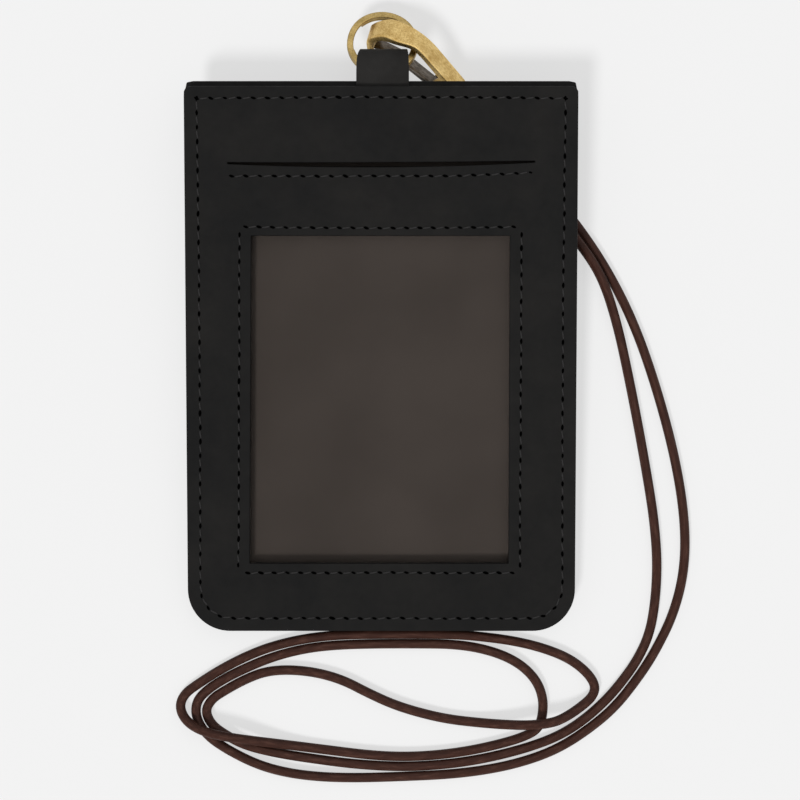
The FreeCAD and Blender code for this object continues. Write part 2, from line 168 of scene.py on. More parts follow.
def front_back():
    return lining_top() + settings().wallet.welt


def front_face():
    return front_back() + settings().wallet.leather


def front_top():
    wallet = settings().wallet
    return wallet.height - wallet.front_drop


def lay_on_clasp():
    """The turn and shift from the flat wallet to the wallet that leans on the clasp."""
    wallet = settings().wallet
    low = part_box("back_panel")[0]
    foot = low.y + wallet.leather * math.sin(wallet.tilt)
    return Matrix.Translation((0, foot, 0)) @ Matrix.Rotation(wallet.tilt, 4, "X")


def eased(value, start, end):
    """A share that rises smoothly from nought at the start to one at the end."""
    share = min(max((value - start) / (end - start), 0), 1)
    return share * share * (3 - 2 * share)


def start_clean():
    """Object mode with nothing selected."""
    if bpy.context.object and bpy.context.object.mode != "OBJECT":
        bpy.ops.object.mode_set(mode="OBJECT")
    bpy.ops.object.select_all(action="DESELECT")


def choose(piece):
    start_clean()
    piece.select_set(True)
    bpy.context.view_layer.objects.active = piece


def flat_grid(name, left, right, low, high, cell):
    """A flat grid of cells about one size, in the wallet's own plane."""
    start_clean()
    across = max(1, round((right - left) / cell))
    along = max(1, round((high - low) / cell))
    bpy.ops.mesh.primitive_grid_add(x_subdivisions=across, y_subdivisions=along, size=1)
    piece = bpy.context.object
    piece.name = name
    piece.scale = (right - left, high - low, 1)
    piece.location = ((left + right) / 2, (low + high) / 2, 0)
    bpy.ops.object.transform_apply(location=True, rotation=False, scale=True)
    return piece


def snap_lines(piece, axis, places):
    """Move the grid line nearest to each place onto it."""
    for place in places:
        lines = [vertex.co[axis] for vertex in piece.data.vertices]
        nearest = min(lines, key=lambda value: abs(value - place))
        for vertex in piece.data.vertices:
            if abs(vertex.co[axis] - nearest) < same_line:
                vertex.co[axis] = place


def edit_all(piece):
    """Edit mode with all of a piece selected."""
    choose(piece)
    bpy.ops.object.mode_set(mode="EDIT")
    bpy.ops.mesh.select_all(action="SELECT")


def pick(piece, kind, wanted):
    """Edit mode with only the wanted faces or edges of a piece selected."""
    choose(piece)
    bpy.ops.object.mode_set(mode="EDIT")
    bpy.ops.mesh.select_mode(type=kind)
    bpy.ops.mesh.select_all(action="DESELECT")
    bpy.ops.object.mode_set(mode="OBJECT")
    for part in piece.data.polygons if kind == "FACE" else piece.data.edges:
        part.select = wanted(part)
    bpy.ops.object.mode_set(mode="EDIT")


def cut_away(piece, inside):
    """Delete the faces whose middle passes the test."""
    pick(piece, "FACE", lambda face: inside(face.center))
    bpy.ops.mesh.delete(type="FACE")
    bpy.ops.object.mode_set(mode="OBJECT")


def round_corner(piece, corner, way, radius):
    """Draw the square corner of a grid in to an arc."""
    middle = Vector((corner[0] - way[0] * radius, corner[1] - way[1] * radius))
    for vertex in piece.data.vertices:
        across = (vertex.co.x - middle.x) * way[0] / radius
        along = (vertex.co.y - middle.y) * way[1] / radius
        if min(across, along) > contact:
            pull = max(across, along) / math.hypot(across, along)
            vertex.co.x = middle.x + way[0] * across * pull * radius
            vertex.co.y = middle.y + way[1] * along * pull * radius


def round_panel(piece, inset, top, top_radius):
    """The wallet's four rounded corners."""
    wallet = settings().wallet
    half = wallet.width / 2 - inset
    for side in (-1, 1):
        round_corner(piece, (side * half, inset), (side, -1), wallet.bottom_radius - inset)
        round_corner(piece, (side * half, top), (side, 1), top_radius)


def apply_modifier(piece, kind, **values):
    choose(piece)
    modifier = piece.modifiers.new(kind.title(), kind)
    for name, value in values.items():
        setattr(modifier, name, value)
    bpy.ops.object.modifier_apply(modifier=modifier.name)


def thicken(piece, thickness, rounding=0, offset=-1, sharp=50):
    """Give a sheet its thickness, below its drawn face unless told otherwise, and soften its edges."""
    apply_modifier(piece, "SOLIDIFY", thickness=thickness, offset=offset, use_even_offset=True)
    if rounding:
        apply_modifier(piece, "BEVEL", width=rounding, segments=2, limit_method="ANGLE",
                       angle_limit=math.radians(sharp))


def lean(piece):
    """Place a piece that was drawn flat onto the leaning wallet."""
    piece.data.transform(lay_on_clasp())
    piece.data.update()


def dress(piece, material, body, slot, *nodes):
    """Finish a new piece: its material, its body and the CAD nodes it stands for."""
    choose(piece)
    bpy.ops.object.shade_smooth_by_angle(angle=math.radians(40))
    piece.data.materials.clear()
    piece.data.materials.append(material)
    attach(piece, body)
    if nodes:
        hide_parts(*nodes)
    return piece


def walk(points, pitch):
    """Points and directions at even steps along a line, as many as fit it best."""
    lengths = [(b - a).length for a, b in zip(points, points[1:])]
    count = max(1, round(sum(lengths) / pitch))
    step = sum(lengths) / count
    places = []
    travelled = 0
    wanted = 0
    for start, end, run in zip(points, points[1:], lengths):
        while wanted <= travelled + run + step_slack and len(places) <= count:
            share = (wanted - travelled) / run
            places.append((start.lerp(end, share), (end - start).normalized()))
            wanted += step
        travelled += run
    return places


def corner_arc(middle, radius, start, end, steps=8):
    """Points on an arc between two bearings in degrees."""
    points = []
    for step in range(steps + 1):
        angle = math.radians(start + (end - start) * step / steps)
        points.append(Vector((middle[0] + radius * math.cos(angle), middle[1] + radius * math.sin(angle))))
    return points


def bowed(start, end, reach, steps=12):
    """Points of a hand-sewn line that strays to its left by a reach half-way along."""
    way = end - start
    aside = Vector((-way.y, way.x)).normalized() * reach
    shares = [step / steps for step in range(steps + 1)]
    return [start + way * share + aside * math.sin(math.pi * share) for share in shares]


def edge_seam(side_inset=2.6 * MM, top_inset=3.75 * MM, bottom_inset=2.65 * MM, radius=6.4 * MM,
              bow=0.22 * MM):
    """The seam round the wallet, from its upper left corner down and round to the start."""
    wallet = settings().wallet
    half = wallet.width / 2 - side_inset
    top = wallet.height - top_inset
    low = bottom_inset
    left = bowed(Vector((-half, top)), Vector((-half, low + radius)), bow)
    left += corner_arc((-half + radius, low + radius), radius, 180, 270)[1:]
    right = corner_arc((half - radius, low + radius), radius, 270, 360)[:-1]
    right += bowed(Vector((half, low + radius)), Vector((half, top)), bow)
    return [left + right, bowed(Vector((half, top)), Vector((-half, top)), -bow)]


def window_edges(margin=0):
    """The window's left, right, lower and upper edge, moved outwards by a margin."""
    wallet = settings().wallet
    half = wallet.width / 2
    return (-half + wallet.window_left - margin, half - wallet.window_right + margin,
            wallet.window_below - margin, wallet.height - wallet.window_above + margin)


def window_seam(inset=2.35 * MM, top_inset=1.75 * MM, bottom_inset=1.95 * MM, corner=1.6 * MM, bow=0.25 * MM):
    """The seam round the window, which follows its slanting left edge."""
    left, right, low, high = window_edges()
    left -= inset
    right += inset
    low -= bottom_inset
    high += top_inset
    slant = settings().wallet.window_slant
    return [
        [Vector((left + slant, high - corner)), Vector((left - slant, low + corner))],
        [Vector((left + corner, low)), Vector((right - corner, low))],
        [Vector((right, low + corner)), Vector((right, high - corner))],
        bowed(Vector((right - corner, high)), Vector((left + corner, high)), bow),
    ]


def slit_seam(below=2.3 * MM, side=9.6 * MM, rise=0.7 * MM):
    """The short seam below the card slit, which climbs towards its right end."""
    wallet = settings().wallet
    level = wallet.height - wallet.slit_below - below
    half = wallet.width / 2 - side
    return [[Vector((-half, level)), Vector((half / 2, level)), Vector((half, level + rise))]]


def front_seams():
    return edge_seam() + window_seam() + slit_seam()


def wander(x, y, size, layer=0):
    """Smooth noise in the wallet's plane, with the size of its lumps and its layer in millimetres."""
    return noise.noise(Vector((x, y, layer * MM)) / (size * MM))


def unsteady(place, reach=0.11 * MM):
    """How far a hand-sewn line strays aside at a place."""
    return reach * wander(place.x, place.y, 9)


def seam_tree(seams):
    """A search tree of points along the seams."""
    points = [step[0] for seam in seams for step in walk(seam, 0.5 * MM)]
    tree = kdtree.KDTree(len(points))
    for index, point in enumerate(points):
        tree.insert((point.x, point.y, 0), index)
    tree.balance()
    return tree


def sag(tree, x, y):
    """How far the leather lies below flat: pulled down at a seam, and a little uneven all over."""
    reach = 1.1 * MM
    distance = tree.find((x, y, 0))[2]
    pulled = settings().stitch.sink * math.exp(-(distance / reach) ** 2)
    uneven = 0.06 * MM * wander(x, y, 17, 7)
    return pulled + uneven


def feed(tree, node, inputs):
    """Give a node's inputs numbers, colours or links from other sockets."""
    for name, value in inputs.items():
        socket = node.inputs[name]
        if isinstance(value, bpy.types.NodeSocket):
            tree.links.new(value, socket)
        else:
            socket.default_value = value


def add_node(tree, kind, inputs, **values):
    """A node with its settings and its inputs."""
    node = tree.nodes.new(kind)
    for name, value in values.items():
        setattr(node, name, value)
    feed(tree, node, inputs)
    return node


def coordinates(tree, kind):
    """A surface's own coordinates of one kind."""
    return add_node(tree, "ShaderNodeTexCoord", {}).outputs[kind]


def mottle(tree, place, size, detail=2.0, roughness=0.5):
    """Noise whose lumps are about one size."""
    inputs = {"Vector": place, "Scale": 1 / size, "Detail": detail, "Roughness": roughness}
    return add_node(tree, "ShaderNodeTexNoise", inputs).outputs["Fac"]


def combine(tree, operation, first, second):
    """Two values brought together by a sum, a product or the like."""
    return add_node(tree, "ShaderNodeMath", {0: first, 1: second}, operation=operation).outputs["Value"]


def spread(tree, value, low, high, start=0.0, end=1.0):
    """A value that goes from low to high while another goes from start to end."""
    inputs = {"Value": value, "From Min": start, "From Max": end, "To Min": low, "To Max": high}
    return add_node(tree, "ShaderNodeMapRange", inputs).outputs["Result"]


def bumped(tree, height, strength, depth, **below):
    """A normal raised by a height, on top of another normal if there is one below."""
    inputs = {"Height": height, "Strength": strength, "Distance": depth, **below}
    return add_node(tree, "ShaderNodeBump", inputs).outputs["Normal"]


def ramp(tree, factor, *stops):
    """A colour ramp of places and colours."""
    node = add_node(tree, "ShaderNodeValToRGB", {"Fac": factor})
    elements = node.color_ramp.elements
    elements[0].position, elements[0].color = stops[0]
    elements[1].position, elements[1].color = stops[-1]
    for place, colour in stops[1:-1]:
        elements.new(place).color = colour
    return node.outputs["Color"]


def shaded(colour, share):
    """A colour made darker or lighter."""
    return [part * share for part in colour[:3]] + [1]


def new_material(name):
    """A material with its node tree and its one Principled shader."""
    material = bpy.data.materials.new(name)
    material.use_nodes = True
    tree = material.node_tree
    return material, tree, tree.nodes["Principled BSDF"]


def full_grain_leather(name, base, worn, roughness):
    """Drum-dyed full-grain leather, plated smooth: fine pores, soft creases and thin dye in places."""
    material, tree, shader = new_material(name)
    place = coordinates(tree, "Object")
    # Pores are about 0.2 mm apart, drawn at 0.45 mm so that they show
    pores = add_node(tree, "ShaderNodeTexVoronoi", {"Vector": place, "Scale": 1 / (0.45 * MM)},
                     feature="DISTANCE_TO_EDGE").outputs["Distance"]
    crease = mottle(tree, place, 1.6 * MM, detail=5.0)
    cloud = mottle(tree, place, 14 * MM, detail=6.0, roughness=0.65)
    fine = bumped(tree, pores, 0.12, 0.05 * MM)
    feed(tree, shader, {
        "Base Color": ramp(tree, cloud, (0.36, base), (0.74, worn)),
        "Roughness": spread(tree, crease, roughness - 0.06, roughness + 0.1, start=0.3, end=0.7),
        "Normal": bumped(tree, crease, 0.25, 0.12 * MM, Normal=fine),
        "Specular IOR Level": 0.09,
    })
    return material


def waxed_thread(colour):
    """Bonded waxed thread: a tight twist with a dull shine."""
    material, tree, shader = new_material("waxed_thread")
    twist = mottle(tree, coordinates(tree, "Object"), 0.3 * MM)
    feed(tree, shader, {
        "Base Color": ramp(tree, twist, (0.3, shaded(colour, 0.6)), (0.7, colour)),
        "Normal": bumped(tree, twist, 0.5, 0.08 * MM),
        "Roughness": 0.5,
        "Specular IOR Level": 0.3,
    })
    return material


def painted_hole_shade(colour):
    """Painted shade in a pricked hole: a near-black disc stands for the shadow inside it, mottled like raw
    fibres.
    """
    material, tree, shader = new_material("painted_hole_shade")
    fibre = mottle(tree, coordinates(tree, "Object"), 0.25 * MM)
    feed(tree, shader, {
        "Base Color": ramp(tree, fibre, (0.2, (0, 0, 0, 1)), (0.8, colour)),
        "Roughness": 1.0,
        "Specular IOR Level": 0.0,
    })
    return material


def lining_cloth(colour):
    """Plain-woven viscose lining: fine crossed threads, flat and even."""
    material, tree, shader = new_material("viscose_lining")
    place = coordinates(tree, "Object")
    # Threads are about 0.25 mm apart, drawn at 0.5 mm so that they show
    # A wave of scale one has its bands a tenth of pi apart
    pitch = math.pi / (0.5 * MM) / 10
    threads = {"Vector": place, "Scale": pitch, "Distortion": 0.4}
    warp, weft = (add_node(tree, "ShaderNodeTexWave", threads, bands_direction=way).outputs["Fac"]
                  for way in ("X", "Y"))
    cloud = mottle(tree, place, 22 * MM, detail=3.0)
    feed(tree, shader, {
        "Base Color": ramp(tree, cloud, (0.35, shaded(colour, 0.88)), (0.65, shaded(colour, 1.1))),
        "Normal": bumped(tree, combine(tree, "ADD", warp, weft), 0.02, 0.05 * MM),
        "Roughness": 0.9,
        "Specular IOR Level": 0.15,
    })
    return material


def clear_film(colour):
    """Soft clear film, calendered: a faint grey haze, a smooth shine and slow waves."""
    material, tree, shader = new_material("clear_soft_film")
    wave = mottle(tree, coordinates(tree, "Object"), 19 * MM, detail=1.0)
    feed(tree, shader, {
        "Base Color": colour,
        "Alpha": spread(tree, wave, 0.02, 0.035),
        "Normal": bumped(tree, wave, 0.1, 0.4 * MM),
        "Roughness": 0.25,
        "Specular IOR Level": 0.25,
    })
    return material


def brushed_metal(name, bright, dark, roughness, body_turn, stretch):
    """Solid metal, brushed along the band and lightly tarnished, so it has a grainy, streaked shine."""
    material, tree, shader = new_material(name)
    place = coordinates(tree, "Object")
    turned = {"Vector": place, "Rotation": body_turn, "Scale": (stretch, 1.0, 1.0)}
    along = add_node(tree, "ShaderNodeMapping", turned, vector_type="TEXTURE").outputs["Vector"]
    # Brush lines are about 0.1 mm wide, drawn at 0.25 mm so that they show
    brush = mottle(tree, along, 0.25 * MM, detail=3.0)
    cloud = mottle(tree, place, 2.2 * MM, detail=5.0, roughness=0.6)
    tarnish = combine(tree, "MULTIPLY", brush, cloud)
    feed(tree, shader, {
        "Base Color": ramp(tree, tarnish, (0.12, dark), (0.34, bright)),
        "Roughness": spread(tree, cloud, roughness + 0.08, roughness - 0.06),
        "Normal": bumped(tree, brush, 0.25, 0.05 * MM),
        "Metallic": 1.0,
    })
    return material


def waxed_cord(colour, light):
    """Waxed cotton cord, drawn through wax: smooth, with long faint strands and paler wax on them."""
    material, tree, shader = new_material("waxed_cotton_cord")
    along = coordinates(tree, "UV")
    # The cord is close to 790 mm long and 6.3 mm round, so this brings its UV map to about millimetres
    laid = add_node(tree, "ShaderNodeMapping", {"Vector": along, "Scale": (790.0, 6.3, 1.0)})
    # Strands are about 0.4 mm wide, drawn at 0.7 mm so that they show, and run four times as far along
    lay = (0, 0, math.radians(20))
    twisted = {"Vector": laid.outputs["Vector"], "Scale": (0.25, 1.0, 1.0), "Rotation": lay}
    strand = add_node(tree, "ShaderNodeMapping", twisted)
    fibre = mottle(tree, strand.outputs["Vector"], 0.7, detail=4.0, roughness=0.6)
    feed(tree, shader, {
        "Base Color": ramp(tree, fibre, (0.3, shaded(colour, 0.7)), (0.5, colour), (0.75, light)),
        "Normal": bumped(tree, fibre, 0.3, 0.1 * MM),
        "Roughness": 0.5,
        "Specular IOR Level": 0.14,
    })
    return material


def seen_directly(tree):
    """One for what the camera, a mirror or clear film sees, and nought for light that is scattered on."""
    ray = add_node(tree, "ShaderNodeLightPath", {}).outputs
    seen = combine(tree, "MAXIMUM", ray["Is Camera Ray"], ray["Is Glossy Ray"])
    return combine(tree, "MAXIMUM", seen, ray["Is Transmission Ray"])


def pale_floor(colour):
    """A matt white light table: most of what shows is its own even glow, so the shadows on it are faint."""
    material, tree, shader = new_material("pale_floor")
    feed(tree, shader, {"Base Color": colour, "Roughness": 0.9, "Specular IOR Level": 0.0})
    glow = add_node(tree, "ShaderNodeEmission", {"Color": colour, "Strength": 1.0}).outputs["Emission"]
    glow_share = 0.68
    share = spread(tree, seen_directly(tree), 0.0, glow_share)
    both = add_node(tree, "ShaderNodeMixShader", {0: share, 1: shader.outputs["BSDF"], 2: glow})
    feed(tree, tree.nodes["Material Output"], {"Surface": both.outputs["Shader"]})
    return material


class BADGE_OT_stage(bpy.types.Operator):
    """Pale floor, soft light and a camera straight above"""
    bl_idname = "badge.stage"
    bl_label = "Stage"

    # Each lamp's bearing, height and spread in degrees, and its strength
    lamps = {"key_light": (241, 51, 13, 2.15), "fill_light": (60, 62, 60, 0.25)}
    camera_place = (3.84 * MM, -16.2 * MM, 0.4)
    camera_lens = 86.1

    def soft_room(self):
        """White light from a wide ceiling, dimmer towards the walls."""
        world = bpy.data.worlds.new("soft_room")
        world.use_nodes = True
        tree = world.node_tree
        way = coordinates(tree, "Generated")
        height = add_node(tree, "ShaderNodeSeparateXYZ", {"Vector": way}).outputs["Z"]
        ceiling = spread(tree, height, 0.6, 1.0, end=0.7)
        # Scattered light is dimmer than the room that the metal and the film mirror
        level = spread(tree, seen_directly(tree), 0.45, 1.0)
        light = combine(tree, "MULTIPLY", ceiling, level)
        feed(tree, tree.nodes["Background"], {"Color": (1, 1, 1, 1), "Strength": light})
        return world

    def execute(self, context):
        scene = context.scene
        scene.view_settings.view_transform = "Standard"
        start_clean()
        bpy.ops.mesh.primitive_plane_add(size=3.0, location=(0, 0, 0))
        floor = context.object
        floor.name = "floor"
        floor.data.materials.append(pale_floor(settings().colours.floor))
        scene.world = self.soft_room()
        for name, (bearing, height, width, strength) in self.lamps.items():
            bpy.ops.object.light_add(type="SUN", location=(0, 0, 1))
            lamp = context.object
            lamp.name = name
            lamp.data.angle = math.radians(width)
            lamp.data.energy = strength
            lamp.rotation_euler = (0, math.radians(90 - height), math.radians(bearing))
            # The key lamp stands for a large panel, which metal mirrors as part of the room
            lamp.visible_glossy = name != "key_light"
        bpy.ops.object.camera_add(location=self.camera_place, rotation=(0, 0, 0))
        camera = context.object
        camera.data.sensor_width = 36
        camera.data.lens = self.camera_lens
        camera.data.clip_start = 0.01
        scene.camera = camera
        return {"FINISHED"}


class BADGE_OT_front_leather(bpy.types.Operator):
    """Front panel with its window and card slit, sunk along its seams"""
    bl_idname = "badge.front_leather"
    bl_label = "Front leather"

    def slit_edge(self, share, upper):
        """Height of the card slit's upper or lower lip, from its left end at -1 to its right end at 1."""
        wallet = settings().wallet
        # The cut climbs to the right, and its lower lip hangs open in the middle
        climb = (0.5 + 0.15 * share + 0.15 * share ** 2) * MM
        line = wallet.height - wallet.slit_below + climb
        parted = 0.38 + 0.65 * (1 - share ** 2)
        return line if upper else line - parted * MM

    def execute(self, context):
        wallet = settings().wallet
        half = wallet.width / 2
        top = front_top()
        piece = flat_grid("front_leather", -half, half, 0, top, 1.0 * MM)
        left, right, low, high = window_edges()
        slit = wallet.height - wallet.slit_below
        slit_half = half - wallet.slit_side
        gap = 0.3 * MM
        seams = front_seams()
        sewn_x, sewn_y = [{round(start[axis], 5) for seam in seams for start, end in zip(seam, seam[1:])
                           if abs(start[axis] - end[axis]) < contact} for axis in (0, 1)]
        snap_lines(piece, 0, [left, right, -slit_half, slit_half, *sewn_x])
        snap_lines(piece, 1, [low, high, slit - gap, slit + gap, *sewn_y])
        cut_away(piece, lambda place: left < place.x < right and low < place.y < high)
        cut_away(piece, lambda place: abs(place.x) < slit_half and abs(place.y - slit) < gap)
        round_panel(piece, 0, top, wallet.front_radius)
        tree = seam_tree(seams)
        for vertex in piece.data.vertices:
            x = vertex.co.x
            y = vertex.co.y
            vertex.co.z = front_face() - sag(tree, x, y)
            if abs(x - left) < contact and low - contact < y < high + contact:
                vertex.co.x += wallet.window_slant * (2 * (y - low) / (high - low) - 1)
            if abs(x) < slit_half + contact and abs(y - slit) < 1.2 * gap:
                vertex.co.y = self.slit_edge(x / slit_half, y > slit)
        thicken(piece, wallet.leather - panel_slack, panel_rounding)
        lean(piece)
        colours = settings().colours
        dress(piece, full_grain_leather("black_leather", colours.leather, colours.leather_worn, 0.52),
              "wallet", "panel_leather", "front_panel")
        return {"FINISHED"}


class BADGE_OT_back_leather(bpy.types.Operator):
    """Back panel, sunk along its seam"""
    bl_idname = "badge.back_leather"
    bl_label = "Back leather"

    def execute(self, context):
        wallet = settings().wallet
        half = wallet.width / 2
        piece = flat_grid("back_leather", -half, half, 0, wallet.height, 1.6 * MM)
        round_panel(piece, 0, wallet.height, wallet.top_radius)
        tree = seam_tree(edge_seam())
        for vertex in piece.data.vertices:
            vertex.co.z = sag(tree, vertex.co.x, vertex.co.y)
        thicken(piece, wallet.leather - panel_slack, panel_rounding, offset=1)
        lean(piece)
        dress(piece, bpy.data.materials["black_leather"], "wallet", "panel_leather", "back_panel")
        return {"FINISHED"}


class BADGE_OT_inner_layers(bpy.types.Operator):
    """Welt, lining, slit facing and clear film between the panels"""
    bl_idname = "badge.inner_layers"
    bl_label = "Inner layers"

    # Room between a wavy layer and the one above it, and from the layers to the panels' edges
    clearance = 0.06 * MM
    inset = 0.5 * MM

    def settle(self, piece, level, thickness, rounding=0, reach=0, size=1, layer=0):
        """Bring a flat layer to its level, with slow waves if they have a reach, and make it solid."""
        for vertex in piece.data.vertices:
            vertex.co.z = level + reach * wander(vertex.co.x, vertex.co.y, size, layer)
        thicken(piece, thickness, rounding)
        lean(piece)

    def welt(self):
        wallet = settings().wallet
        tab = settings().tab
        inset = self.inset
        width = 5.0 * MM
        half = wallet.width / 2
        top = front_top() - inset
        piece = flat_grid("welt_strip", -half + inset, half - inset, inset, top, 2.0 * MM)
        reach = half - width
        high = wallet.height - width
        gap = tab.width / 2
        snap_lines(piece, 0, (-reach, reach, tab.offset - gap, tab.offset + gap))
        snap_lines(piece, 1, (width, high))
        cut_away(piece, lambda place: abs(place.x) < reach and width < place.y < high)
        cut_away(piece, lambda place: abs(place.x - tab.offset) < gap and place.y > wallet.height / 2)
        round_panel(piece, inset, top, wallet.front_radius)
        self.settle(piece, front_back(), wallet.welt)
        colours = settings().colours
        # The welt's raw edges sit in the gap between the panels, and their near-black colour is partly
        # painted shade.
        dress(piece, full_grain_leather("raw_edge_leather_and_gap_shade", colours.cut_edge_and_gap_shade, colours.leather_worn, 0.75),
              "wallet", "inner_leather", "edge_welt")

    def lining(self):
        wallet = settings().wallet
        inset = self.inset
        half = wallet.width / 2 - inset
        top = front_top() - inset
        piece = flat_grid("lining_sheet", -half, half, inset, top, 2.5 * MM)
        round_panel(piece, inset, top, wallet.front_radius)
        # The cloth is drawn thinner than its CAD solid, so that its waves stay inside it
        thickness = wallet.lining - 0.15 * MM
        self.settle(piece, lining_top() - self.clearance, thickness, reach=0.05 * MM, size=21)
        dress(piece, lining_cloth(settings().colours.lining), "wallet", "lining_fabric", "back_lining")

    def facing(self):
        wallet = settings().wallet
        overlap = 1.7 * MM
        height = 8.5 * MM
        thickness = 0.3 * MM
        below_slit = 0.3 * MM
        top = wallet.height - wallet.slit_below - below_slit
        half = wallet.width / 2 - wallet.slit_side + overlap
        piece = flat_grid("slit_facing_strip", -half, half, top - height, top, 2.0 * MM)
        self.settle(piece, front_back() - 0.05 * MM, thickness, rounding=0.06 * MM)
        # The facing shows only through the card slit, and its near-black colour is partly painted shade for
        # the space behind the slit.
        dress(piece, bpy.data.materials["raw_edge_leather_and_gap_shade"], "wallet", "inner_leather", "slit_facing")

    def film(self):
        margin = 4.0 * MM
        thickness = 0.18 * MM
        piece = flat_grid("window_film_sheet", *window_edges(margin), 2.0 * MM)
        self.settle(piece, front_back() - self.clearance, thickness, reach=0.04 * MM, size=13, layer=3)
        dress(piece, clear_film(settings().colours.film), "wallet", "clear_film", "window_film")

    def execute(self, context):
        self.welt()
        self.lining()
        self.facing()
        self.film()
        return {"FINISHED"}


class BADGE_OT_hanging_tab(bpy.types.Operator):
    """Strap folded over the ring, with both ends sewn into the wallet"""
    bl_idname = "badge.hanging_tab"
    bl_label = "Hanging tab"

    def strap_line(self):
        """The strap's middle line from its front end over the fold to its rear end: height and depth."""
        wallet = settings().wallet
        tab = settings().tab
        ply = tab.leather / 2
        front = front_back() - ply
        rear = front_back() - tab.depth + ply
        root_rear = lining_top() + ply
        crown = wallet.height + tab.rise - ply
        floor = wallet.height + 0.05 * MM + ply
        fold = 1.65 * MM
        turn = 0.85 * MM
        line = [Vector((wallet.height - tab.root, front))]
        line += corner_arc((crown - fold, front - fold), fold, 90, 0)
        line += corner_arc((crown - fold, rear + fold), fold, 0, -90)
        line += corner_arc((floor + turn, rear + turn), turn, 270, 180)
        line += corner_arc((floor - turn, root_rear - turn), turn, 0, 90)
        line += [Vector((wallet.height - tab.root, root_rear))]
        return line

    def execute(self, context):
        tab = settings().tab
        places = walk(self.strap_line(), 0.45 * MM)
        half = tab.width / 2
        crown = max(step[0].x for step in places)
        last = len(places) - 1
        across = 10
        start_clean()
        bpy.ops.mesh.primitive_grid_add(x_subdivisions=across, y_subdivisions=last, size=1)
        piece = context.object
        piece.name = "hanging_strap"
        for vertex in piece.data.vertices:
            row = round((vertex.co.y + 0.5) * last)
            share = vertex.co.x * 2
            point = places[row][0]
            # The fold's corners are rubbed round and its long edges are pressed down a little
            worn = (0.75 if share < 0 else 0.3) * MM * math.exp(-(crown - point.x) / (1.0 * MM))
            edge_dip = 0.12 * MM * share ** 4
            vertex.co = (tab.offset + (half - worn) * share, point.x,
                         point.y - edge_dip * (1 if row < last / 2 else -1))
        thicken(piece, tab.leather - 0.06 * MM, rounding=0.14 * MM, offset=0, sharp=60)
        lean(piece)
        colours = settings().colours
        dress(piece, full_grain_leather("tab_leather_dyed", colours.leather_worn, colours.tab_worn, 0.55),
              "wallet", "tab_leather", "hanging_tab")
        return {"FINISHED"}


